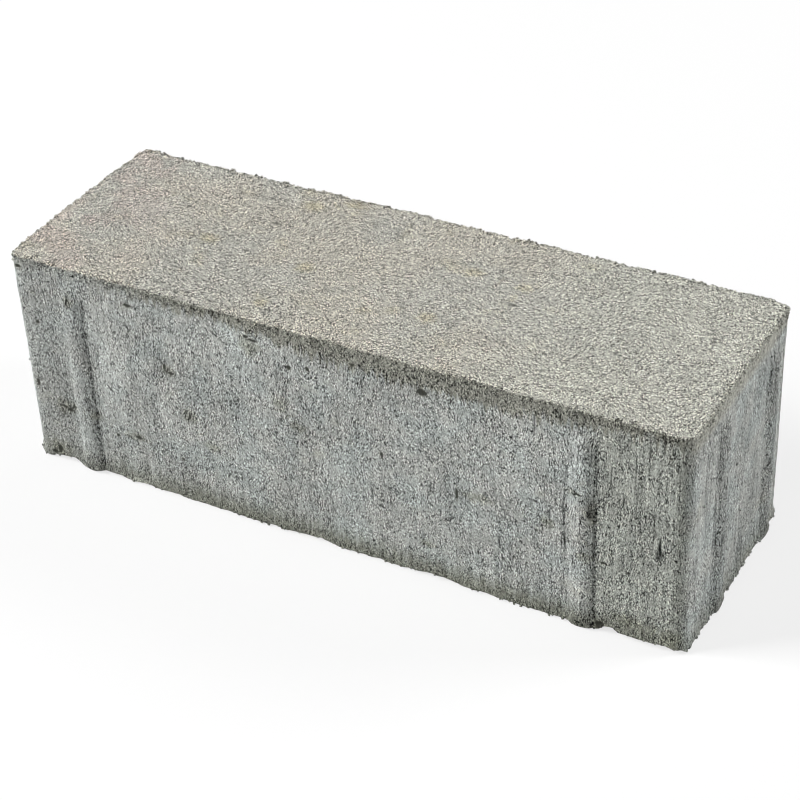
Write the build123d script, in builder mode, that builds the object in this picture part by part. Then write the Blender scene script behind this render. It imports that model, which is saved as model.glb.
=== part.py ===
"""A moulded concrete paving stone with low spacer ribs on its four sides.

The stone stands on its bedding face. The origin is the middle of that
face, X runs along the length, Y across the width and Z up to the face
that is walked on. All sizes are in millimetres.
"""
import os

from build123d import *

# Driving sizes of the body, without its ribs
body_length = 298.0
body_width = 98.5
body_height = 100.0

# Roundings that the mould and the tamper leave
corner_radius = 6.0
top_edge_radius = 1.5

# Spacer ribs: a shallow arc in plan, dying away below the top edge
rib_stand_out = 1.8
rib_width = 11.0
rib_gap_to_top = 10.0
rib_taper_length = 6.0
rib_tip_depth = 0.3

# Rib places: the pair on each side is set off centre, so that the ribs of
# two stones laid side by side stand next to each other
side_rib_spacing = 226.0
side_rib_shift = 6.2
end_rib_spacing = 49.6
end_rib_shift = 7.4

# Circle that gives a rib its width and stand-out
rib_half_width = rib_width / 2
rib_radius = (rib_half_width**2 + rib_stand_out**2) / (2 * rib_stand_out)
rib_axis_depth = rib_radius - rib_stand_out
rib_tip_radius = rib_axis_depth - rib_tip_depth
rib_height = body_height - rib_gap_to_top
rib_full_height = rib_height - rib_taper_length

# Axes of the ribs, seen from above
side_axis_y = body_width / 2 - rib_axis_depth
end_axis_x = body_length / 2 - rib_axis_depth
side_near_x = side_rib_spacing / 2 - side_rib_shift
side_far_x = side_rib_spacing / 2 + side_rib_shift
end_near_y = end_rib_spacing / 2 - end_rib_shift
end_far_y = end_rib_spacing / 2 + end_rib_shift
front_rib_places = [(side_near_x, -side_axis_y), (-side_far_x, -side_axis_y)]
back_rib_places = [(-side_near_x, side_axis_y), (side_far_x, side_axis_y)]
right_rib_places = [(end_axis_x, -end_near_y), (end_axis_x, end_far_y)]
left_rib_places = [(-end_axis_x, end_near_y), (-end_axis_x, -end_far_y)]
rib_places = front_rib_places + back_rib_places + right_rib_places + left_rib_places

# One rib, turned about its upright axis: straight below, with a rounded
# nose that draws in until it lies behind the face of the stone
with BuildPart() as rib:
    with BuildSketch(Plane.XZ):
        with BuildLine():
            foot = Line((0, 0), (rib_radius, 0))
            flank = Line(foot @ 1, (rib_radius, rib_full_height))
            nose = TangentArc(flank @ 1, (rib_tip_radius, rib_height), tangent=flank % 1)
            cap = Line(nose @ 1, (0, rib_height))
            Line(cap @ 1, foot @ 0)
        make_face()
    revolve(axis=Axis.Z)

# The stone: an upright block with rounded corners and a softened top
# edge, with the ribs standing out of its sides
with BuildPart() as stone:
    with BuildSketch():
        RectangleRounded(body_length, body_width, corner_radius)
    extrude(amount=body_height)
    top_face = stone.faces().sort_by(Axis.Z)[-1]
    fillet(top_face.edges(), radius=top_edge_radius)
    with Locations(*rib_places):
        add(rib.part)

stone.part.label = "paving_stone"

os.makedirs("parts", exist_ok=True)
export_step(stone.part, "parts/paving_stone.step")
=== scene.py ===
# %% [markdown]
# # A concrete paving stone
# A dry concrete mix is poured into a steel mould, shaken and pressed, and pushed out at once.
# That gives a block with rounded upright corners, drag marks down its sides, a sandy open top
# and a ragged foot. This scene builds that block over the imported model, from the same sizes.

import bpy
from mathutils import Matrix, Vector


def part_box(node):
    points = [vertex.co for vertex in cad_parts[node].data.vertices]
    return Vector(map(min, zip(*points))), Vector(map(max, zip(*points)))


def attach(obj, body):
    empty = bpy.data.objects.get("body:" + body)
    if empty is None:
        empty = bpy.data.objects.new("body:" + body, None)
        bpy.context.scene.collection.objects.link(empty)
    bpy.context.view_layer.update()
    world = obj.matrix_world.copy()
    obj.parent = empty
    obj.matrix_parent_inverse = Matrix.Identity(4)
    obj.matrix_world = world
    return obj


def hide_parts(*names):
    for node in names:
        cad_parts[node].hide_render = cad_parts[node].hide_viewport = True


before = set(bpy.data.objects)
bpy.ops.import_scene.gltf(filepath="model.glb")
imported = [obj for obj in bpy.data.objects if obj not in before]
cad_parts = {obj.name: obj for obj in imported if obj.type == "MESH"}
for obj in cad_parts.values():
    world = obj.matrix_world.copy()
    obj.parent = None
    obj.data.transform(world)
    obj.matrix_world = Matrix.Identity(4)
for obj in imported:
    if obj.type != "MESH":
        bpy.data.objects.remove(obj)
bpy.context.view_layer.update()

# %% [markdown]
# ## Node maths that reads like sums
# Both Blender's materials and its Geometry Nodes work out numbers with chains of Math nodes.
# They could be added one by one, but then a formula takes a page. A small class that stands for
# one output socket, with Python's operators defined on it, writes the same nodes from a formula.

# %% Sockets in sums
import math

import bpy
from mathutils import Matrix, Vector


class Wire:
    """One output socket of a node, which can be added, multiplied and compared."""

    def __init__(self, sheet, socket):
        self.sheet = sheet
        self.socket = socket

    def maths(self, operation, first, second=None, clamp=False):
        inputs = {0: first} if second is None else {0: first, 1: second}
        settings = {"operation": operation, "use_clamp": clamp}
        return self.sheet.add("ShaderNodeMath", settings, inputs)

    def __add__(self, other):
        return self.maths("ADD", self, other)

    def __radd__(self, other):
        return self.maths("ADD", other, self)

    def __sub__(self, other):
        return self.maths("SUBTRACT", self, other)

    def __rsub__(self, other):
        return self.maths("SUBTRACT", other, self)

    def __mul__(self, other):
        return self.maths("MULTIPLY", self, other)

    def __rmul__(self, other):
        return self.maths("MULTIPLY", other, self)

    def __truediv__(self, other):
        return self.maths("DIVIDE", self, other)

    def __rtruediv__(self, other):
        return self.maths("DIVIDE", other, self)

    def __pow__(self, other):
        return self.maths("POWER", self, other)

    def __neg__(self):
        return self.maths("MULTIPLY", self, -1.0)

    def __abs__(self):
        return self.maths("ABSOLUTE", self)

    def least(self, other):
        return self.maths("MINIMUM", self, other)

    def most(self, other):
        return self.maths("MAXIMUM", self, other)

    def root(self):
        return self.maths("SQRT", self)

    def sine(self):
        return self.maths("SINE", self)

    def sign(self):
        return self.maths("SIGN", self)

    def above(self, level):
        return self.maths("GREATER_THAN", self, level)

    def share(self):
        """The value held between 0 and 1."""
        return self.maths("ADD", self, 0.0, clamp=True)

    def output(self, name):
        """Another output of the same node."""
        return Wire(self.sheet, self.socket.node.outputs[name])


# %% A sheet of nodes
class Sheet:
    """A node tree, with one method that adds any node."""

    def __init__(self, tree):
        self.tree = tree

    def add(self, kind, settings=None, inputs=None, output=0):
        """Adds a node, sets its settings, then its sockets, and gives one of its outputs."""
        node = self.tree.nodes.new(kind)
        for name, value in (settings or {}).items():
            setattr(node, name, value)
        for key, value in (inputs or {}).items():
            if isinstance(value, Wire):
                self.tree.links.new(value.socket, node.inputs[key])
            else:
                node.inputs[key].default_value = value
        return Wire(self, node.outputs[output]) if node.outputs else node

    def split(self, vector):
        """The x, y and z of a vector."""
        parts = self.add("ShaderNodeSeparateXYZ", inputs={0: vector})
        return parts, parts.output("Y"), parts.output("Z")

    def join(self, x, y, z):
        """A vector of three values."""
        return self.add("ShaderNodeCombineXYZ", inputs={0: x, 1: y, 2: z})

    def vector(self, operation, first, second=None, output="Vector"):
        """A vector sum; SCALE takes its number as second."""
        inputs = {0: first}
        if second is not None:
            inputs[3 if operation == "SCALE" else 1] = second
        return self.add("ShaderNodeVectorMath", {"operation": operation}, inputs, output)

    def ease(self, value, low, high, to_low=0.0, to_high=1.0):
        """A smooth step: to_low up to low, to_high from high on."""
        inputs = {0: value, 1: low, 2: high, 3: to_low, 4: to_high}
        return self.add("ShaderNodeMapRange", {"interpolation_type": "SMOOTHSTEP"}, inputs)

    def fade(self, value, low, high):
        """A smooth step down: 1 up to low, 0 from high on."""
        return self.ease(value, low, high, 1.0, 0.0)

    def noise(self, place, size, detail=2.0, roughness=0.5):
        """Soft noise about 0.5, whose waves are about size metres long."""
        inputs = {"Vector": place, "Scale": 1.0 / size, "Detail": detail, "Roughness": roughness}
        return self.add("ShaderNodeTexNoise", inputs=inputs)

    def cells(self, place, size):
        """Distance from the middle of cells that are about size metres wide."""
        return self.add("ShaderNodeTexVoronoi", inputs={"Vector": place, "Scale": 1.0 / size})


# %% [markdown]
# ## Sizes
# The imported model's box holds the stone and its spacer ribs. Everything else follows from that
# box and from the few sizes below, which are the same ones that the solid model is made from.

# %% Sizes of the stone, in metres
MM = 0.001

rib_stand_out = 1.8 * MM
rib_width = 11.0 * MM
rib_gap_to_top = 10.0 * MM
rib_taper_length = 6.0 * MM
rib_tip_depth = 0.3 * MM
side_rib_spacing = 226.0 * MM
side_rib_shift = 6.2 * MM
end_rib_spacing = 49.6 * MM
end_rib_shift = 7.4 * MM
corner_radius = 6.0 * MM
top_edge_radius = 1.5 * MM
foot_edge_radius = 0.8 * MM

low_corner, high_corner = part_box("paving_stone")
body_length = high_corner[0] - low_corner[0] - 2 * rib_stand_out
body_width = high_corner[1] - low_corner[1] - 2 * rib_stand_out
body_height = high_corner[2] - low_corner[2]
front_y = -body_width / 2
end_x = body_length / 2
print(f"body {body_length:.4f} x {body_width:.4f} x {body_height:.4f} m")

# %% [markdown]
# ## The camera
# The picture was taken from a little above, with a long lens. The camera stands on a line from an
# aim point near the middle of the stone, turned and raised by two angles, and tips a little.
# A lens this long keeps the stone's far edges nearly parallel.

# %% Place the camera
camera_turn = math.radians(30.33)
camera_rise = math.radians(35.22)
camera_tip = math.radians(-2.845)
camera_distance = 876.55 * MM
camera_aim = Vector((-7.22, 18.05, 27.24)) * MM
lens_length = 94.24

backwards = Vector((
    math.sin(camera_turn) * math.cos(camera_rise),
    -math.cos(camera_turn) * math.cos(camera_rise),
    math.sin(camera_rise),
))
camera_data = bpy.data.cameras.new("camera")
camera_data.lens = lens_length
camera_data.sensor_width = 36.0
camera = bpy.data.objects.new("camera", camera_data)
bpy.context.scene.collection.objects.link(camera)
turned = backwards.to_track_quat("Z", "Y").to_matrix() @ Matrix.Rotation(camera_tip, 3, "Z")
camera.matrix_world = Matrix.Translation(camera_aim + camera_distance * backwards) @ turned.to_4x4()
bpy.context.scene.camera = camera
print("camera at", [round(c, 4) for c in camera.matrix_world.translation])

# %% [markdown]
# ## One finish for every piece
# A Geometry Nodes tree gives its result a material itself, at its end, so the material has to be
# there first. It gets its nodes further down, once the pieces that it covers have been made.

# %% Name the finish
concrete = bpy.data.materials.new("concrete")

# %% [markdown]
# ## The block, by rule
# The stone is a box whose corners, edges and ribs follow simple sums, so Geometry Nodes can make
# it: a finely divided cube is moved, point by point, to where the mould's walls are. A remeshed
# copy of the solid would do too, but it spends its faces evenly. Here the rows stand closer
# together near the edges, where the concrete crumbles and the outline shows it.

# %% Start the tree, with its named inputs
rows_along = 236
rows_across = 80
rows_up = 84
row_crowding = 1.05

block_tree = bpy.data.node_groups.new("moulded_block", "GeometryNodeTree")
block = Sheet(block_tree)
block_sizes = {
    "Length": body_length,
    "Width": body_width,
    "Height": body_height,
    "Corner Radius": corner_radius,
    "Top Edge Radius": top_edge_radius,
    "Foot Edge Radius": foot_edge_radius,
    "Rib Stand Out": rib_stand_out,
    "Rib Width": rib_width,
}
block_inputs = {}
for name, size in block_sizes.items():
    socket = block_tree.interface.new_socket(name, in_out="INPUT", socket_type="NodeSocketFloat")
    socket.default_value = size
    block_inputs[name] = socket.identifier
block_tree.interface.new_socket("Geometry", in_out="OUTPUT", socket_type="NodeSocketGeometry")
block_in = block.add("NodeGroupInput")
print(f"block of {rows_along} x {rows_across} x {rows_up} rows")


def size_of(name):
    """The wire of a named input of the block."""
    return block_in.output(name)


# %% The divided cube, with crowded rows
cube_settings = {"Size": (2.0, 2.0, 2.0), "Vertices X": rows_along + 1,
                 "Vertices Y": rows_across + 1, "Vertices Z": rows_up + 1}
cube = block.add("GeometryNodeMeshCube", inputs=cube_settings)
cube_place = block.add("GeometryNodeInputPosition")
half_length = size_of("Length") * 0.5
half_width = size_of("Width") * 0.5
half_height = size_of("Height") * 0.5
crowded = [(row * row_crowding).sine() / math.sin(row_crowding) for row in block.split(cube_place)]
flat_x = crowded[0] * half_length
flat_y = crowded[1] * half_width
flat_z = crowded[2] * half_height

# %% [markdown]
# A rounded corner comes from a square one by one rule. Each point is measured from an inner box,
# one radius inside the walls. In a corner, where it is off that box both ways, it is drawn in so
# that the square becomes a quarter of a disc. The same rule, used again with a smaller radius,
# rounds the top edge and the foot.

# %% Round the corners in plan, then the edges
tiny = 1e-9
radius = size_of("Corner Radius")
inner_x = flat_x.most(radius - half_length).least(half_length - radius)
inner_y = flat_y.most(radius - half_width).least(half_width - radius)
off_x = flat_x - inner_x
off_y = flat_y - inner_y
off_length = (off_x * off_x + off_y * off_y).root() + tiny
off_most = abs(off_x).most(abs(off_y))
is_upper = flat_z.above(0.0)
edge_radius = is_upper * size_of("Top Edge Radius") + (1 - is_upper) * size_of("Foot Edge Radius")
past_wall = (off_most - (radius - edge_radius)).most(0.0)
past_level = (abs(flat_z) - (half_height - edge_radius)).most(0.0)
drawn_in = past_wall.most(past_level) / ((past_wall**2.0 + past_level**2.0).root() + tiny)
wall_reach = off_most.least(radius - edge_radius) + past_wall * drawn_in
level_reach = abs(flat_z).least(half_height - edge_radius) + past_level * drawn_in
facing_x = off_x / off_length
facing_y = off_y / off_length
round_x = inner_x + facing_x * wall_reach
round_y = inner_y + facing_y * wall_reach
round_z = flat_z.sign() * level_reach + half_height

# %% [markdown]
# ## The spacer ribs
# Each rib is a shallow arc standing out of the wall, from the foot to a little below the top,
# where it draws in to a rounded nose. Separate half cylinders, joined on, would leave a seam at
# the wall, so the rows of the block itself are moved out instead. The ribs on the far sides are
# the near ones turned half round, so one sum serves both: it measures along the wall in the
# direction that the wall faces.

# %% Where the ribs are, along their walls
side_rib_middles = (side_rib_spacing / 2 - side_rib_shift, -side_rib_spacing / 2 - side_rib_shift)
end_rib_middles = (end_rib_spacing / 2 + end_rib_shift, end_rib_shift - end_rib_spacing / 2)
print("rib middles on a long side, mm:", [round(middle / MM, 1) for middle in side_rib_middles])
print("rib middles on an end, mm:", [round(middle / MM, 1) for middle in end_rib_middles])

# %% How far a rib reaches from its axis, at each height
rib_half = size_of("Rib Width") * 0.5
stand_out = size_of("Rib Stand Out")
rib_radius = (rib_half * rib_half + stand_out**2.0) / (stand_out * 2.0)
rib_axis_depth = rib_radius - stand_out
nose_drop = stand_out + rib_tip_depth
nose_radius = (nose_drop * nose_drop + rib_taper_length**2) / (nose_drop * 2.0)
nose_start = size_of("Height") - rib_gap_to_top - rib_taper_length
nose_way = (round_z - nose_start).most(0.0).least(rib_taper_length)
rib_radius_here = rib_radius - nose_radius + (nose_radius * nose_radius - nose_way * nose_way).root()


# %% Stand the ribs out of the walls
def rib_outline(along, middle):
    """How far a rib stands out of its wall at a distance along the wall."""
    off = along - middle
    reach = (rib_radius_here * rib_radius_here - off * off).most(0.0).root()
    return (reach - rib_axis_depth).most(0.0)


on_wall = block.ease(wall_reach, radius - 3.0 * MM, radius)
along_side = -facing_y.sign() * round_x
along_end = facing_x.sign() * round_y
side_ribs = rib_outline(along_side, side_rib_middles[0]) + rib_outline(along_side, side_rib_middles[1])
end_ribs = rib_outline(along_end, end_rib_middles[0]) + rib_outline(along_end, end_rib_middles[1])
moulded_x = round_x + facing_x * abs(facing_x) * on_wall * end_ribs
moulded_y = round_y + facing_y * abs(facing_y) * on_wall * side_ribs
moulded = block.join(moulded_x, moulded_y, round_z)

# %% [markdown]
# Later steps and the material need to know where on the block a point is: on a wall, near the
# top edge or near the foot. They could work it out again from the place, but it is known here
# already, so it is kept on the points as named attributes.

# %% Notes that later steps and the material read
edge_reach = 4.0 * MM


def note(geometry, name, value, kind="FLOAT"):
    """Keeps a value on the points of the mesh, under a name."""
    settings = {"data_type": kind, "domain": "POINT"}
    inputs = {"Geometry": geometry, "Name": name, "Value": value}
    return geometry.sheet.add("GeometryNodeStoreNamedAttribute", settings, inputs)


def noted(sheet, name):
    """A value kept on the points."""
    return sheet.add("GeometryNodeInputNamedAttribute", {"data_type": "FLOAT"}, {"Name": name})


# A formula is worked out on the points as they are where it is used, so these notes are taken off
# the cube, before its points move.
wall_gap = radius - wall_reach
level_gap = half_height - level_reach
edge_nearness = (1 - wall_gap.most(level_gap) / edge_reach).share()
not_level = block.ease(level_gap, 0.0, 1.0 * MM)
noted_cube = note(cube, "rim", edge_nearness * is_upper)
noted_cube = note(noted_cube, "foot", edge_nearness * (1 - is_upper))
noted_cube = note(noted_cube, "wall", block.ease(wall_reach, radius - 1.5 * MM, radius) * not_level)


# %% Move the cube's points to the mould's walls
def moved(geometry, **change):
    """Moves the points: Position says where to, or Offset says how far."""
    inputs = {"Geometry": geometry, **change}
    return geometry.sheet.add("GeometryNodeSetPosition", inputs=inputs)


moulded_block = moved(noted_cube, Position=moulded)

# %% [markdown]
# ## Marks of this stone
# The pits, scores, stains, pale and ochre spots that tell this stone from its neighbours are
# given one by one, as ellipses on its faces. The material could hold the list of them, but then
# every sample of the render would work through it. So the mesh keeps, on each point, the way to
# the nearest mark of each kind, measured in that mark's own half sizes. Such a way changes evenly
# between points, so even a mark smaller than the mesh's faces comes out round.

# %% Where the marks are, in millimetres
# on the long side: along the wall, height, half length and half height
side_pits = [
    (41.3, 88.2, 2.2, 1.4), (-91.0, 90.2, 1.7, 0.7), (-144.0, 94.9, 1.5, 0.7), (-35.6, 91.4, 1.2, 0.8),
    (-32.2, 90.3, 1.6, 0.5), (-16.7, 82.4, 0.9, 0.9), (-8.3, 84.3, 0.7, 0.9), (11.9, 91.9, 0.9, 0.7),
    (-76.3, 65.4, 0.8, 0.9), (-73.6, 62.8, 1.4, 0.7), (-66.5, 44.0, 0.8, 1.2), (-138.3, 69.5, 0.8, 0.8),
    (-143.2, 38.2, 0.7, 1.8), (-137.0, 5.6, 1.0, 1.7), (-128.2, 28.0, 1.7, 1.0), (-104.6, 22.6, 0.9, 0.7),
    (-94.0, 24.6, 1.8, 0.7), (-72.4, 20.3, 0.7, 0.9), (22.5, 53.4, 0.6, 1.4), (54.8, 45.6, 0.6, 2.6),
    (-139.8, 3.4, 1.3, 0.8), (114.8, 3.2, 1.8, 1.6), (-131.2, 29.6, 1.6, 0.6), (-125.9, 30.3, 0.7, 1.2),
    (140.5, 89.5, 0.7, 0.7), (115.4, 33.1, 1.6, 0.6), (105.5, 63.3, 1.6, 0.6), (-138.0, 84.0, 0.6, 0.8),
]
# the rows near 111 to 112 mm along lie in the crease of the right rib: there the dark line is painted shade
side_scores_and_crease_shade = [
    (111.7, 40.0, 0.45, 15.0), (111.4, 63.0, 0.35, 8.0), (100.5, 75.0, 0.35, 7.0), (102.4, 79.7, 0.35, 6.5),
    (99.0, 54.5, 0.5, 3.5), (99.7, 39.0, 0.4, 5.0), (96.4, 37.4, 0.35, 4.0), (138.1, 95.0, 0.5, 6.0),
    (132.6, 91.0, 0.4, 7.0), (123.0, 65.0, 0.4, 4.0), (98.8, 14.4, 0.4, 3.0), (91.5, 58.0, 0.35, 6.0),
    (72.6, 29.0, 0.5, 4.0), (110.2, 55.2, 1.0, 3.0), (100.7, 70.0, 0.35, 4.0), (127.5, 82.0, 0.35, 5.0),
    (118.0, 74.0, 0.3, 6.0), (87.5, 88.0, 0.35, 5.0), (137.6, 45.0, 1.8, 2.6), (137.6, 49.8, 0.5, 3.4),
    (111.8, 55.0, 0.5, 4.0),
]
side_stains = [
    (-130.0, 29.5, 5.5, 4.0), (-114.5, 30.0, 3.0, 2.5), (-95.0, 25.0, 5.5, 2.0), (-22.5, 64.0, 3.5, 3.5),
    (-14.5, 54.7, 3.5, 2.5), (-56.0, 31.7, 3.5, 2.5), (63.0, 46.5, 6.0, 2.2), (-66.5, 44.0, 3.0, 3.5),
    (-75.0, 64.0, 3.5, 2.5), (-34.0, 88.0, 4.5, 5.0), (41.5, 16.4, 3.0, 2.0), (107.9, 34.5, 3.5, 2.5),
    (-137.0, 6.0, 5.0, 4.5), (103.5, 63.0, 4.0, 1.6), (-120.0, 85.0, 2.5, 3.0), (110.6, 55.0, 2.6, 5.0),
    (127.0, 9.0, 6.0, 3.0), (143.0, 7.0, 4.0, 4.0), (92.7, 45.2, 3.0, 3.0),
]
# the first row lies on the left flank of the left rib, which faces the left lamp: a painted highlight; the
# other rows are pale patches
side_pales_and_highlight = [
    (-123.0, 30.0, 1.8, 24.0), (-108.5, 42.0, 1.0, 36.0), (107.0, 25.0, 1.6, 12.0), (102.5, 58.5, 1.8, 3.0),
    (121.5, 27.3, 4.0, 4.5), (96.0, 40.0, 2.0, 9.0), (-30.0, 30.0, 5.0, 3.5), (127.0, 1.2, 9.0, 1.4),
    (-96.5, 1.6, 5.0, 1.4), (-102.0, 58.0, 6.0, 30.0),
]
# on the end: across the stone, height, half length and half height
end_pales = [(-27.0, 45.0, 1.3, 48.0), (41.5, 45.0, 1.4, 42.0), (-37.0, 60.0, 2.5, 30.0)]
# on the top: along, across, half length and half width
top_pits = [
    (-61.3, 18.1, 1.6, 1.2), (-61.3, -5.5, 1.0, 1.3), (-37.4, 25.7, 0.9, 0.8), (53.2, 3.5, 2.0, 0.8),
    (-70.0, -43.8, 0.9, 0.9), (101.9, -9.8, 0.8, 0.8), (58.1, 29.0, 1.2, 0.8),
]
top_pales = [
    (121.0, 17.0, 5.0, 4.0), (36.0, -24.0, 4.0, 2.6), (20.0, -8.0, 2.0, 1.6), (3.5, -12.0, 1.6, 1.4),
    (88.0, -32.0, 6.0, 3.5), (60.0, -30.0, 6.0, 3.0),
]
top_ochres = [
    (-80.3, -3.8, 4.5, 3.5), (-33.1, -7.1, 4.0, 3.5), (-35.5, -35.9, 3.0, 3.0), (-54.6, 36.5, 5.0, 4.0),
    (-38.7, 43.8, 5.0, 2.5), (28.7, 18.1, 4.5, 3.5), (27.9, -18.7, 4.0, 3.5), (51.9, 16.0, 3.5, 3.0),
    (70.3, 40.7, 4.0, 2.5), (51.3, 6.2, 1.2, 1.2),
]

mark_tables = (side_pits, side_scores_and_crease_shade, side_stains, side_pales_and_highlight, end_pales, top_pits, top_pales, top_ochres)
print(sum(len(table) for table in mark_tables), "marks placed by hand")

# %% Put the marks on their faces
mark_depth = 4.0


def on_side(marks):
    """Marks of the long side, as a place and half sizes in all three directions."""
    return [((x, front_y / MM, z), (half_x, mark_depth, half_z)) for x, z, half_x, half_z in marks]


def on_end(marks):
    """Marks of the end wall, as a place and half sizes in all three directions."""
    return [((end_x / MM, y, z), (mark_depth, half_y, half_z)) for y, z, half_y, half_z in marks]


def on_top(marks):
    """Marks of the top, as a place and half sizes in all three directions."""
    return [((x, y, body_height / MM), (half_x, half_y, mark_depth)) for x, y, half_x, half_y in marks]


# %% Measure the way to the nearest mark
def way_to_nearest(place, marks):
    """The way to the nearest mark, in that mark's own half sizes, and how long it is."""
    nearest = None
    for middle, halves in marks:
        way = block.vector("SUBTRACT", place, [part * MM for part in middle])
        way = block.vector("MULTIPLY", way, [1 / (half * MM) for half in halves])
        length = block.vector("LENGTH", way, output="Value")
        if nearest is None:
            nearest, least = way, length
            continue
        nearer = length.maths("LESS_THAN", length, least)
        choice = {"Switch": nearer, "False": nearest, "True": way}
        nearest = block.add("GeometryNodeSwitch", {"input_type": "VECTOR"}, choice)
        least = least.least(length)
    return nearest, least


# %% [markdown]
# ## The rough skin
# Sand, cement and trapped air leave no mould surface flat. The roughness comes in layers of
# noise, each with its own size on the real stone: slow waves, lumps on the open top, drag marks
# on the walls, and sand. Sculpting could give the same, but noise is even all round, repeats
# exactly on each run, and each layer can be turned up by one number.

# %% Layers of roughness, as heights in metres
skin_place = block.add("GeometryNodeInputPosition")
skin_facing = block.add("GeometryNodeInputNormal")
skin_x, skin_y, skin_z = block.split(skin_place)
wall = noted(block, "wall")
rim = noted(block, "rim")
foot = noted(block, "foot")
drag_place = block.vector("MULTIPLY", skin_place, (1.0, 1.0, 0.1))

# each layer: how long its waves are, and how high from the lowest to the highest
waves = (block.noise(skin_place, 45 * MM) - 0.5) * (0.9 * MM)
lumps = (block.noise(skin_place, 6 * MM, 2.0) - 0.5) * (0.9 * MM) * (1 - wall)
drags = (block.noise(drag_place, 3.2 * MM, 3.0) - 0.5) * (0.5 * MM) * wall
sand = (block.noise(skin_place, 2.3 * MM, 1.0) - 0.5) * (0.3 * MM + rim.most(foot) * (0.3 * MM))

# %% [markdown]
# The top edge is a crumbly rim. When the block leaves the mould, grains come away there in small
# clusters. So the rim loses depth where a slow noise is high, and a fine one makes it crumbly all
# along. Cutting chips out of it one by one would look the same on every edge.

# %% Crumble the rim
bites = block.ease(block.noise(skin_place, 8 * MM, 3.0, 0.6), 0.45, 0.72)
rim_loss = bites * rim * rim * (1.5 * MM)
crumbs = (block.noise(skin_place, 2.4 * MM, 2.0, 0.6) - 0.5) * rim * (3.2 * MM)

# %% [markdown]
# At the foot, the wet mix squeezes out under the mould a little and tears off unevenly. The wall
# swells outward over its last few millimetres, and the edge itself is lifted here and there. The
# larger gaps under the long side are listed one by one, where this stone has them.

# %% Swell the foot, and tear its edge
swell_height = 7.0 * MM
swell = block.fade(skin_z, 1.0 * MM, swell_height) * wall.most(foot)
swell = swell * block.noise(skin_place, 30 * MM, 3.0) * (1.3 * MM)
tears = block.ease(block.noise(skin_place, 9 * MM, 3.0, 0.6), 0.45, 0.8) * (1.6 * MM)

# %% Lift the larger gaps
# middle along the wall, half length and lift of each gap under the long side, in millimetres
foot_gaps = [
    (-134, 8, 2.2), (-110, 9, 0.9), (-11, 10, 0.8), (46, 11, 1.3), (66, 5, 0.5),
    (118, 4, 2.2), (130, 20, 1.7),
]
lift = tears
front_only = 1 - skin_y.above(0.0)
for middle, half, height in foot_gaps:
    nearness = block.fade(abs(skin_x - middle * MM), 0.4 * half * MM, half * MM)
    lift = lift + nearness * front_only * (height * MM)

# %% [markdown]
# All the layers go along the way that the skin faces, apart from the swelling, which goes
# straight out, and the gaps, which go up. The mould holds the concrete back, so the result is
# pressed into the stone's own box again, and the floor stays level under it.

# %% Sink the pits
pit_way, pit_reach = way_to_nearest(skin_place, on_side(side_pits) + on_top(top_pits))
pit_depth = block.fade(pit_reach, 0.4, 1.2) * (0.9 * MM)

# %% Move the skin
# The highest grains reach the mould, so the rest of the skin lies a little behind it.
settle = -0.25 * MM - (1 - wall) * (0.25 * MM)
height_change = waves + lumps + drags + sand + crumbs + settle - rim_loss - pit_depth
along_facing = block.vector("SCALE", skin_facing, height_change)
outward = block.vector("NORMALIZE", block.vector("MULTIPLY", skin_facing, (1.0, 1.0, 0.0)))
swelling = block.vector("SCALE", outward, swell)
lifting = block.join(0.0, 0.0, lift * foot)
skin_move = block.vector("ADD", block.vector("ADD", along_facing, swelling), lifting)
rough_block = moved(moulded_block, Offset=skin_move)


# %% Press it all back into the mould
def pressed(geometry):
    """Keeps every point inside the mould, down to the floor."""
    place = geometry.sheet.add("GeometryNodeInputPosition")
    held = geometry.sheet.vector("MINIMUM", place, high_corner)
    held = geometry.sheet.vector("MAXIMUM", held, low_corner)
    return moved(geometry, Position=held)


pressed_block = pressed(rough_block)

# %% Note the ways to the marks, on the finished skin
last_place = block.add("GeometryNodeInputPosition")
marked = note(pressed_block, "to_pit", pit_way, "FLOAT_VECTOR")
kinds_of_marks = {
    "to_stain": on_side(side_stains),
    "to_pale_and_highlight": on_side(side_pales_and_highlight) + on_end(end_pales) + on_top(top_pales),
    "to_ochre": on_top(top_ochres),
    "to_score_and_crease_shade": on_side(side_scores_and_crease_shade),
}
for name, marks in kinds_of_marks.items():
    marked = note(marked, name, way_to_nearest(last_place, marks)[0], "FLOAT_VECTOR")

# %% Finish the tree
smooth_block = block.add("GeometryNodeSetShadeSmooth", inputs={"Geometry": marked})


def ended(geometry):
    """Ends a tree: real geometry, with the concrete finish on it."""
    real = geometry.sheet.add("GeometryNodeRealizeInstances", inputs={"Geometry": geometry})
    finished = geometry.sheet.add("GeometryNodeSetMaterial", inputs={"Geometry": real})
    finished.socket.node.inputs["Material"].default_value = concrete
    geometry.sheet.add("NodeGroupOutput", inputs={0: finished})


ended(smooth_block)
print(len(block_tree.nodes), "nodes make the block")


# %% Run the tree, and keep its result as a plain mesh
def grown(tree, name, inputs=None, start=None):
    """Runs a tree on an empty object, or on a copy of start, and keeps the result as a plain mesh."""
    mesh = start.data.copy() if start else bpy.data.meshes.new(name)
    holder = bpy.data.objects.new(name, mesh)
    bpy.context.scene.collection.objects.link(holder)
    modifier = holder.modifiers.new("nodes", "NODES")
    modifier.node_group = tree
    for identifier, value in (inputs or {}).items():
        modifier[identifier] = value
    shot = holder.evaluated_get(bpy.context.evaluated_depsgraph_get())
    result = bpy.data.meshes.new_from_object(shot)
    result.name = name
    holder.modifiers.remove(modifier)
    holder.data = result
    triangles = sum(len(face.vertices) - 2 for face in result.polygons)
    print(f"{name}: {len(result.vertices)} points, {triangles} triangles")
    return holder


def by_identifier(identifiers, sizes):
    """Sizes given by name, as the sockets' identifiers take them."""
    return {identifiers[name]: size for name, size in sizes.items()}


stone = grown(block_tree, "stone_body", by_identifier(block_inputs, block_sizes))

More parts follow.
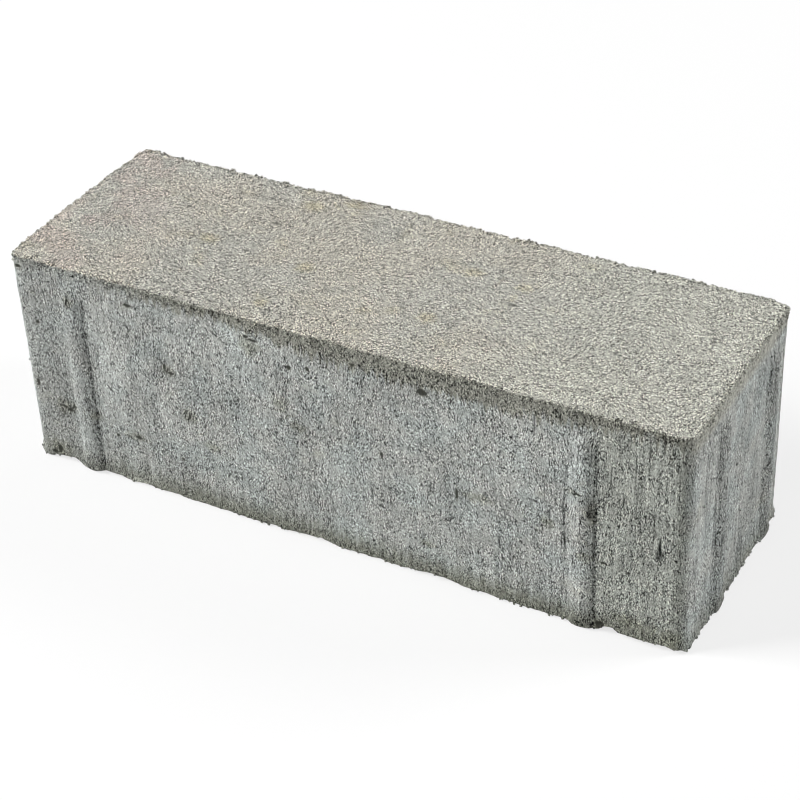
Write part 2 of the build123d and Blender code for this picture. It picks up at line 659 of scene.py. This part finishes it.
# %% [markdown]
# ## Proud grains
# Single grains of sand stand out of the skin. On the open top they lie side by side, and at the
# rim and the foot, where the paste didn't close over them, they break up the outline. A bump in
# the material can't do either, because it leaves the outline smooth and hides nothing behind a
# grain. So a second tree scatters small squashed balls over the stone, turned at random. It is
# run twice: once for the top, with eight triangles a grain, and once for the edges, with twenty.

# %% The tree that scatters grains
grain_tree = bpy.data.node_groups.new("proud_grains", "GeometryNodeTree")
grains = Sheet(grain_tree)
grain_tree.interface.new_socket("Stone", in_out="INPUT", socket_type="NodeSocketGeometry")
grain_floats = ["Grain Radius", "Spacing", "Per Square Metre", "Top Share", "Edge Share", "Wall Share"]
grain_counts = ["Segments", "Rings", "Seed"]
grain_inputs = {}
for name in grain_floats + grain_counts:
    kind = "NodeSocketFloat" if name in grain_floats else "NodeSocketInt"
    socket = grain_tree.interface.new_socket(name, in_out="INPUT", socket_type=kind)
    grain_inputs[name] = socket.identifier
grain_tree.interface.new_socket("Geometry", in_out="OUTPUT", socket_type="NodeSocketGeometry")
grain_in = grains.add("NodeGroupInput")


def chance(low, high, shift):
    """A random number for each grain."""
    inputs = {2: low, 3: high, "Seed": grain_in.output("Seed") + shift}
    return grains.add("FunctionNodeRandomValue", {"data_type": "FLOAT"}, inputs, 1)


def chances(low, high, shift):
    """Three random numbers for each grain."""
    inputs = {0: (low, low, low), 1: (high, high, high), "Seed": grain_in.output("Seed") + shift}
    return grains.add("FunctionNodeRandomValue", {"data_type": "FLOAT_VECTOR"}, inputs)


# %% Scatter the grains, each sunk a little into the skin
grain_radius = grain_in.output("Grain Radius")
up_facing = grains.split(grains.add("GeometryNodeInputNormal"))[2]
edge = noted(grains, "rim").most(noted(grains, "foot"))
open_top = (1 - noted(grains, "wall")) * up_facing.above(0.0)
crowd = edge * edge * grain_in.output("Edge Share") + open_top * grain_in.output("Top Share")
crowd = (crowd + grain_in.output("Wall Share")).share() * up_facing.above(-0.5)
scattered = grains.add("GeometryNodeDistributePointsOnFaces", {"distribute_method": "POISSON"}, {
    "Mesh": grain_in, "Distance Min": grain_in.output("Spacing"),
    "Density Max": grain_in.output("Per Square Metre"), "Density Factor": crowd,
    "Seed": grain_in.output("Seed")})
sink = grains.vector("SCALE", scattered.output("Normal"), chance(-0.5, 0.45, 1) * grain_radius)
sunk = moved(scattered, Offset=sink)

# %% Squash and turn them, and give each its tone
ball = grains.add("GeometryNodeMeshUVSphere", inputs={
    "Radius": 1.0, "Segments": grain_in.output("Segments"), "Rings": grain_in.output("Rings")})
squashed = grains.vector("SCALE", chances(0.6, 1.3, 2), grain_radius)
balls = grains.add("GeometryNodeInstanceOnPoints", inputs={
    "Points": sunk, "Instance": ball, "Rotation": chances(0.0, 2 * math.pi, 3), "Scale": squashed})
toned = grains.add("GeometryNodeStoreNamedAttribute", {"data_type": "FLOAT", "domain": "INSTANCE"}, {
    "Geometry": balls, "Name": "tone", "Value": chance(-1.0, 1.0, 4)})
proud = grains.add("GeometryNodeStoreNamedAttribute", {"data_type": "FLOAT", "domain": "INSTANCE"}, {
    "Geometry": toned, "Name": "proud", "Value": 1.0})
# made real here already, so that each grain's own points can be pressed back into the mould
real_grains = grains.add("GeometryNodeRealizeInstances", inputs={"Geometry": proud})
ended(pressed(real_grains))
print(len(grain_tree.nodes), "nodes scatter the grains")

# %% Grow the grains on the stone
top_sand_sizes = {"Grain Radius": 0.32 * MM, "Spacing": 0.55 * MM, "Per Square Metre": 1.0e6,
                  "Top Share": 1.0, "Edge Share": 0.0, "Wall Share": 0.0,
                  "Segments": 4, "Rings": 2, "Seed": 7}
edge_grain_sizes = {"Grain Radius": 0.7 * MM, "Spacing": 0.75 * MM, "Per Square Metre": 1.2e6,
                    "Top Share": 0.0, "Edge Share": 1.6, "Wall Share": 0.004,
                    "Segments": 5, "Rings": 3, "Seed": 11}
top_sand = grown(grain_tree, "top_sand", by_identifier(grain_inputs, top_sand_sizes), stone)
edge_grains = grown(grain_tree, "edge_grains", by_identifier(grain_inputs, edge_grain_sizes), stone)

# %% [markdown]
# ## The finish of the concrete
# Seen close, the stone is three finishes that run into each other. The top is open and sandy:
# pale warm grains with dark gaps. The walls are skinned with cement paste that the mould dragged
# upright, with dark flecks where the sand shows through. Just under the top edge the skin is thin,
# and the stone is darker and browner there, and it is darker and browner along the foot as well.
# A picture wrapped round the stone could show all this, but it would repeat or smear on the other
# sides. Noise and cells that read the place on the stone give every side its own grain, and one
# material holds all three finishes, so nothing shows a seam.

# %% Helpers for colours
concrete.use_nodes = True
concrete.node_tree.nodes.clear()
skin = Sheet(concrete.node_tree)


def paint(red, green, blue):
    """A colour given as it looks on a screen, 0 to 255, as Blender's linear colour."""
    levels = [level / 255 for level in (red, green, blue)]
    return (*[v / 12.92 if v <= 0.04045 else ((v + 0.055) / 1.055) ** 2.4 for v in levels], 1.0)


def blend(first, second, factor):
    """Mixes two colours by a factor."""
    return skin.add("ShaderNodeMix", {"data_type": "RGBA"}, {0: factor, 6: first, 7: second}, 2)


def shaded(colour, factor):
    """A colour made lighter or darker by a factor."""
    return skin.vector("SCALE", colour, factor)


def read(name, output="Fac"):
    """A value that the mesh keeps on its points."""
    return skin.add("ShaderNodeAttribute", {"attribute_name": name}, output=output)


# %% [markdown]
# ### Which part of the stone a point is on
# The place on the stone says whether a point is on the long side or on an end. The border of the
# top is not a line: at the rim, its sand and the paste of the wall interlock. So the border moves
# with the shade of each grain of the wall's grit. That grit is a pattern of cells. It reads a
# place whose height is scaled down, so every cell is taller than wide, as the mould dragged it.

# %% Where the point is
half_w = body_width / 2
half_l = body_length / 2
spot = skin.add("ShaderNodeTexCoord", output="Object")
spot_x, spot_y, spot_z = skin.split(spot)

# %% The grit of the walls
grit_width = 0.31 * MM
grit_squeeze = 0.45
grit = skin.cells(skin.vector("MULTIPLY", spot, (1.0, 1.0, grit_squeeze)), grit_width)
grit_shade, grit_chance = skin.split(grit.output("Color"))[:2]
print(f"grit {grit_width / MM:.2f} mm wide and {grit_width / grit_squeeze / MM:.2f} mm tall")

# %% Top, front and ends, each from 0 to 1
ragged_wall = read("wall") + (grit_shade - 0.5) * 0.5
of_top = skin.fade(ragged_wall, 0.25, 0.65) * spot_z.above(body_height / 2)
is_front = skin.fade(spot_y, front_y + 2.5 * MM, front_y + 4.5 * MM)
of_end = skin.ease(abs(spot_x), half_l - 4 * MM, half_l - 1 * MM) * (1 - of_top)

# %% [markdown]
# ### Pits, stains and pale spots
# The mesh says how far each point is from the nearest mark. Noise frays the distance, and a soft
# step turns it into a ragged patch: a narrow step for a pit or a score, whose edge is clear, and
# a wide one for a stain, which has no edge. Round a pit the skin is stained too.

# %% Patches about the marks
fraying = skin.noise(spot, 2.0 * MM, 3.0, 0.7).output("Color")
fraying = skin.vector("SUBTRACT", fraying, (0.5, 0.5, 0.5))


def away(name, fray):
    """The frayed distance to the nearest mark of a kind, in that mark's half sizes."""
    way = skin.vector("ADD", read(name, "Vector"), skin.vector("SCALE", fraying, fray))
    return skin.vector("LENGTH", way, output="Value")


pit_away = away("to_pit", 1.2)
shaded_pit = skin.fade(pit_away, 0.9, 1.15)
stain = skin.fade(away("to_stain", 2.4), 0.4, 1.5)
stain = stain.most(skin.ease(pit_away, 0.9, 2.0, 0.7, 0.0))
pale_and_highlight = skin.fade(away("to_pale_and_highlight", 2.4), 0.4, 1.5)
# some scores lie in the crease of the right rib, where their dark line is painted shade
score_and_crease_shade = skin.fade(away("to_score_and_crease_shade", 1.1), 0.6, 1.2)

# %% [markdown]
# ### The sandy top
# The top is all sand, so it is cells again, in two sizes. The fine ones are the grains: each has
# its own shade, paler in the middle and dark at its edge, and a few are bright or nearly black.
# The coarse ones carry the dark holes where a grain is missing, more of them near the rim. In the
# worn patches the grain is fainter. Each cell of a Voronoi texture has a random colour, whose
# three channels serve as three dice.

# %% Missing grains
grain = skin.cells(spot, 0.95 * MM)
grain_chance, hole_chance = skin.split(grain.output("Color"))[:2]
grain_fall = skin.ease(grain, 0.25, 0.8)
ragged_rim = read("rim") * read("rim")
missing = skin.ease(hole_chance + 0.3 * ragged_rim, 0.78, 0.82)
holes = missing * skin.fade(grain, 0.32, 0.52)

# %% Grains of sand
sand_cell = skin.cells(spot, 0.4 * MM)
sand_shade, sand_chance = skin.split(sand_cell.output("Color"))[:2]
bright_sand = sand_chance.above(0.92)
black_sand = 1 - sand_chance.above(0.1)
top_grain = 1.6 * (sand_shade - 0.5) + 3.2 * (0.5 - sand_cell)
top_grain = top_grain + 0.8 * bright_sand - black_sand

# %% How light the top is
worn = skin.ease(skin.noise(spot, 5 * MM, 2.0), 0.5, 0.65)
left_half = skin.fade(spot_x, -60 * MM, 0.0)
back_edge_shade = skin.ease(spot_y, half_w - 3 * MM, half_w - 1 * MM)
top_shade = 1.19 + top_grain * (1.15 - 0.6 * worn)
top_shade = top_shade + 0.15 * (grain_chance - 0.5) + 0.2 * (0.5 - grain_fall) - 0.95 * holes
# The back rim is made darker: painted shade on its rounded edge.
top_shade = top_shade - 0.05 * left_half - 0.3 * ragged_rim * back_edge_shade

# %% [markdown]
# The slow changes of tint come from soft noise, because sand from one pit is never all one
# colour. On this stone it is pinker at the left end and more olive to the right, with ochre
# spots, of which the clearest are listed one by one.

# %% Tints of the top
slow = skin.ease(skin.noise(spot, 38 * MM), 0.4, 0.6)
top_tint = blend(paint(180, 177, 167), paint(177, 176, 168), slow)
ochre = skin.ease(skin.noise(spot, 14 * MM, 3.0, 0.6), 0.56, 0.72) * 0.35
ochre = ochre.most(skin.ease(away("to_ochre", 2.4), 0.4, 1.5, 0.7, 0.0))
top_tint = blend(top_tint, paint(176, 170, 146), ochre)
blush_place = skin.fade(spot_x, -half_l + 8 * MM, -half_l + 70 * MM)
blush = blush_place * skin.ease(skin.noise(spot, 16 * MM, 2.0), 0.42, 0.6)
top_tint = blend(top_tint, paint(184, 171, 164), blush * 0.45)
wandering_x = spot_x + (skin.noise(spot, 30 * MM) - 0.5) * (120 * MM)
olive = skin.ease(wandering_x, 20 * MM, 100 * MM)
top_tint = blend(top_tint, paint(181, 181, 172), olive * 0.9)
top_colour = shaded(top_tint, top_shade)

# %% [markdown]
# ### The dragged walls
# Paste covers the walls, drawn upright by the mould, and where it is thin the sand shows through
# as dark flecks. One value, openness, says how thin it is, and every layer of the wall follows
# it: more pores and flecks where it is high, smooth pale paste where it is low. The streaks are
# noise that is stretched upright. They are read along one line that runs on round the corners,
# because two noises that meet there would show a seam.

# %% Streaks and clouds
corner_cut = 1.8 * MM
way_x = spot_x.most(corner_cut - half_l).least(half_l - corner_cut)
way_y = spot_y.most(corner_cut - half_w).least(half_w - corner_cut)
round_way = way_x + way_y
streak = skin.noise(skin.join(round_way, 0.0, spot_z * 0.06), 1.7 * MM, 3.0, 0.6)
thread = skin.noise(skin.join(round_way, 9.0, spot_z * 0.08), 0.9 * MM, 2.0, 0.6)
mottle = skin.noise(spot, 9 * MM, 4.0, 0.6)
clouds = skin.noise(spot, 24 * MM, 2.0)

# %% [markdown]
# The skin is thin in a band under the top edge, which hangs lowest right of the middle and
# frays downwards with the streaks. The wall is also darker and browner in a strip along the foot.
# Right of the last rib the wall is open as well. On the ends, paste from the top ran over the edge
# and dried smooth, and small smooth patches of paste lie all over the walls.

# %% Where the skin is thin, and where it is smooth
ragged = (streak - 0.5) * (20 * MM) + (mottle - 0.5) * (8 * MM)
from_left = skin.ease(spot_x, -half_l + 35 * MM, -half_l + 75 * MM, 0.4, 1.0)
rim_drop = skin.ease(abs(spot_x - 40 * MM), 30 * MM, 90 * MM, 2.0 * MM, -2.5 * MM)
under_rim = skin.ease(spot_z + rim_drop + ragged, body_height - 9.0 * MM, body_height - 6.0 * MM)
under_rim = under_rim * from_left * (1 - 0.75 * of_end)
by_foot = skin.fade(spot_z + ragged * 0.6, 2 * MM, 14 * MM)
right_part = skin.ease(spot_x, 106 * MM, 116 * MM) * (1 - of_end)
spill = skin.ease(spot_z, body_height - 10 * MM, body_height - 5 * MM) * of_end
paste = skin.ease(skin.noise(spot, 3.0 * MM, 1.0), 0.5, 0.62).most(0.8 * spill)

# %% [markdown]
# On one side of each rib of a long side, a dark line runs in the crease with the wall: partly dirt,
# partly painted shade of the rib's flank. The ribs of the ends rubbed along the mould, so their
# crowns are rough and open. Both stop at the rib's nose.


# %% Creases beside the side ribs
def shaded_crease_at(along, edge):
    """A dark line where a rib meets its wall, partly dirt and partly painted shade."""
    return skin.fade(abs(along - edge), 0.3 * MM, 0.8 * MM)


side_along = spot_x * (1 - 2 * spot_y.above(0.0))
rib_edge = rib_width / 2 - 0.4 * MM
side_crease_dirt_and_shade = shaded_crease_at(side_along, side_rib_middles[0] + rib_edge)
side_crease_dirt_and_shade = side_crease_dirt_and_shade + shaded_crease_at(side_along, side_rib_middles[1] + rib_edge)
below_nose = skin.fade(spot_z, body_height - 18 * MM, body_height - 9 * MM) * (1 - of_top)
crease_dirt_and_shade = side_crease_dirt_and_shade * below_nose * (1 - of_end)


# %% Rough crowns on the end ribs
end_along = spot_y * (2 * spot_x.above(0.0) - 1)


def rough_band(middle):
    """1 on an end rib, whose crown rubbed along the mould."""
    from_crown = abs(end_along - middle) + (streak - 0.5) * (5 * MM)
    return skin.fade(from_crown, 4.0 * MM, 6.5 * MM)


end_band = rough_band(end_rib_middles[0]) + rough_band(end_rib_middles[1] - 2 * MM)
end_band = end_band * of_end * below_nose

# %% How open the wall is
openness = 0.5 + 0.35 * under_rim + 0.25 * right_part - 0.4 * of_end - 0.3 * by_foot
openness = openness + 1.6 * (mottle - 0.5)

# %% Pores, flecks and hairs
pore_share = 0.08 + 0.12 * openness + 0.14 * under_rim + 0.2 * stain - 0.12 * pale_and_highlight + 0.15 * crease_dirt_and_shade
pore_share = (pore_share + 0.2 * end_band).most(0.02)
pores = 1 - grit_chance.above(pore_share)
pale_grains = grit_chance.above(0.9)
flecks = skin.noise(skin.vector("MULTIPLY", spot, (1.0, 1.0, 0.4)), 0.9 * MM, 2.0, 0.6)
fleck_level = 0.38 + 0.08 * openness
dark_flecks = skin.fade(flecks, fleck_level - 0.05, fleck_level + 0.03)
hair = skin.fade(thread, 0.34, 0.41)

# %% [markdown]
# The lightness of the wall is a sum of these layers. It starts a little above 1, which makes up
# for the dark ones. The grit counts most, and it is fainter on smooth paste and inside a pit or a
# score. The streaks and the dark hairs are strongest near the right end, where the mould dragged
# hardest.

# %% How light the wall is
corner_shade = skin.ease(spot_x, half_l - 8 * MM, half_l - 2 * MM) * is_front
smooth_mark = shaded_pit.most(score_and_crease_shade)
wall_grain = 1.8 * (grit_shade - 0.5) + 3.1 * (0.5 - grit) - pores + 0.5 * pale_grains
wall_grain = wall_grain * (0.95 - 0.5 * paste) * (1 - 0.7 * smooth_mark)
streaky = 1.2 + 0.5 * skin.ease(spot_x, 75 * MM, 100 * MM)
wall_shade = 1.195 + wall_grain + streaky * (streak - 0.5) + 0.5 * (mottle - 0.5)
wall_shade = wall_shade + 0.75 * (clouds - 0.5)
wall_shade = wall_shade - 0.12 * dark_flecks * (0.5 + 0.5 * openness)
right_hairs = skin.ease(spot_x, 80 * MM, 100 * MM) * (1 - of_end.most(corner_shade))
hair_share = 0.15 + 0.3 * under_rim.most(right_hairs)
# the creases darken the wall here: partly dirt, partly painted shade beside each side rib
dark_lines = (0.4 * crease_dirt_and_shade).most(0.7 * score_and_crease_shade)
wall_shade = wall_shade - hair * hair_share - 0.13 * stain - dark_lines - 0.15 * end_band

# %% Tints of the walls
cool = skin.ease(skin.noise(spot, 16 * MM, 3.0), 0.40, 0.65)
wall_tint = blend(paint(165, 167, 163), paint(163, 168, 165), cool)
brown = skin.ease(skin.noise(spot, 12 * MM, 3.0, 0.6), 0.58, 0.78) * 0.3
wall_tint = blend(wall_tint, paint(160, 158, 142), brown)
wall_tint = blend(wall_tint, paint(156, 159, 151), right_part * 0.8)
wall_tint = blend(wall_tint, paint(135, 135, 125), under_rim * 0.9)
wall_tint = blend(wall_tint, paint(122, 124, 114), by_foot * (1 - 0.5 * of_end))
wall_tint = blend(wall_tint, paint(128, 131, 120), corner_shade * 0.3)
left_shade = skin.fade(spot_x, -half_l, -half_l + 90 * MM)
left_shade = left_shade * skin.ease(spot_z, 0.0, 75 * MM, 1.0, 0.6)
wall_tint = blend(wall_tint, paint(140, 142, 138), left_shade * (1 - of_end) * 0.6)
wall_tint = blend(wall_tint, paint(163, 163, 154), spill)
wall_tint = blend(wall_tint, paint(145, 146, 126), stain * 0.4)
wall_colour = shaded(wall_tint, wall_shade)

# %% Put the walls and the top together
colour = blend(wall_colour, top_colour, of_top)
# Pale patches are made lighter here, and so is the painted highlight on the left rib's flank.
colour = blend(colour, shaded(colour, 1.10 + 0.5 * read("foot")), pale_and_highlight)
# Inside each pit the colour is nearly black: painted shade in the hollow.
colour = blend(colour, paint(44, 45, 40), shaded_pit * (0.88 - 0.25 * of_top))

# %% Give the proud grains their tones
tone = read("tone")
dark_grain = 1 - tone.above(-0.75)
colour = shaded(colour, 1.0 + 0.15 * read("proud") + 0.14 * tone - 0.2 * dark_grain)

# %% [markdown]
# ### Relief finer than the mesh
# The rows of the mesh are about a millimetre apart, and most grains are smaller. A finer mesh
# would cost millions of faces, so the gaps between grains, the holes and the hairs are a bump,
# which only tilts the light. Concrete is dull all over, so its roughness is one plain number.

# %% Bump and surface
relief_top = (1 - grain_fall) * (0.08 * MM) + (0.6 - sand_cell) * (0.05 * MM) - holes * (0.2 * MM)
relief_wall = (0.6 - grit) * (0.08 * MM) + (thread - 0.5) * (0.08 * MM) - dark_flecks * (0.06 * MM)
relief = relief_wall + (relief_top - relief_wall) * of_top
bump = skin.add("ShaderNodeBump", inputs={"Strength": 1.0, "Distance": 1.0, "Height": relief})
surface = skin.add("ShaderNodeBsdfPrincipled", inputs={
    "Base Color": colour, "Roughness": 0.93, "Specular IOR Level": 0.25, "Normal": bump})
skin.add("ShaderNodeOutputMaterial", inputs={"Surface": surface})
print(len(concrete.node_tree.nodes), "nodes make the concrete")

# %% [markdown]
# ## What the pieces are
# The stone is one body that nothing moves on. The three pieces together take the place of its
# plain solid, and all have the one finish.

# %% Say what the pieces are
for piece in (stone, top_sand, edge_grains):
    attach(piece, "root")
    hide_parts("paving_stone")
    print(piece.name, "rides on the root, in concrete")

# %% [markdown]
# ## The studio
# The stone stands on a plain pale floor. Two large lamps light it, one from the left and one
# from the right, and the sky fills the shadows a little. The picture has a white ground. More
# light would give that, but it would bleach the stone too. So the floor glows, and the sky is
# bright, for the camera alone. To the camera the floor is a darker matte under its glow, which
# adds up to white where the lamps reach it and leaves a faint shadow where they don't.

# %% The floor
floor_reach = 30.0
floor_mesh = bpy.data.meshes.new("floor")
floor_corners = [(-floor_reach, -floor_reach, 0), (floor_reach, -floor_reach, 0),
                 (floor_reach, floor_reach, 0), (-floor_reach, floor_reach, 0)]
floor_mesh.from_pydata(floor_corners, [], [(0, 1, 2, 3)])
floor = bpy.data.objects.new("floor", floor_mesh)
bpy.context.scene.collection.objects.link(floor)


# %% White for the camera, plain for the light
def seen(sheet):
    """1 for what the camera sees, straight or in a mirror or through glass."""
    path = sheet.add("ShaderNodeLightPath")
    return path.most(path.output("Is Glossy Ray")).most(path.output("Is Transmission Ray"))


floor_finish = bpy.data.materials.new("studio_floor")
floor_finish.use_nodes = True
floor_finish.node_tree.nodes.clear()
ground = Sheet(floor_finish.node_tree)
floor_seen = seen(ground)
floor_glow = 0.72
floor_grey = 0.8 - 0.5 * floor_seen
matte = ground.add("ShaderNodeBsdfDiffuse", inputs={"Color": floor_grey})
glow = ground.add("ShaderNodeEmission", inputs={"Color": (1, 1, 1, 1), "Strength": floor_seen * floor_glow})
both = ground.add("ShaderNodeAddShader", inputs={0: matte, 1: glow})
ground.add("ShaderNodeOutputMaterial", inputs={0: both})
floor.data.materials.append(floor_finish)

# %% The sky
fill_light = 0.16
world = bpy.data.worlds.new("studio")
bpy.context.scene.world = world
world.use_nodes = True
world.node_tree.nodes.clear()
sky = Sheet(world.node_tree)
sky_strength = seen(sky) * (1 - fill_light) + fill_light
sky_glow = sky.add("ShaderNodeBackground", inputs={"Color": (1, 1, 1, 1), "Strength": sky_strength})
sky.add("ShaderNodeOutputWorld", inputs={0: sky_glow})


# %% The lamps
def softbox(name, turn, rise, distance, size, power):
    """A square lamp that looks at the stone from a turn and a rise, in degrees."""
    data = bpy.data.lights.new(name, "AREA")
    data.shape = "SQUARE"
    data.size = size
    data.energy = power
    lamp = bpy.data.objects.new(name, data)
    bpy.context.scene.collection.objects.link(lamp)
    way = Vector((
        math.sin(math.radians(turn)) * math.cos(math.radians(rise)),
        -math.cos(math.radians(turn)) * math.cos(math.radians(rise)),
        math.sin(math.radians(rise)),
    ))
    facing = way.to_track_quat("Z", "Y").to_matrix().to_4x4()
    lamp.matrix_world = Matrix.Translation(way * distance + Vector((0, 0, body_height / 2))) @ facing
    print(f"{name}: {size} m square, {power} W, {distance} m away")


softbox("left_softbox", -60.0, 36.0, 3.0, 1.1, 88.0)
softbox("right_softbox", 126.0, 32.0, 3.0, 1.1, 43.0)

# %% [markdown]
# ## The picture
# The Standard view transform shows a colour as it was written. A grain of sand is about as wide
# as a pixel of the picture, so the filter that mixes neighbouring pixels is narrowed to one pixel.

# %% How the picture is shown
bpy.context.scene.view_settings.view_transform = "Standard"
bpy.context.scene.cycles.filter_width = 1.0
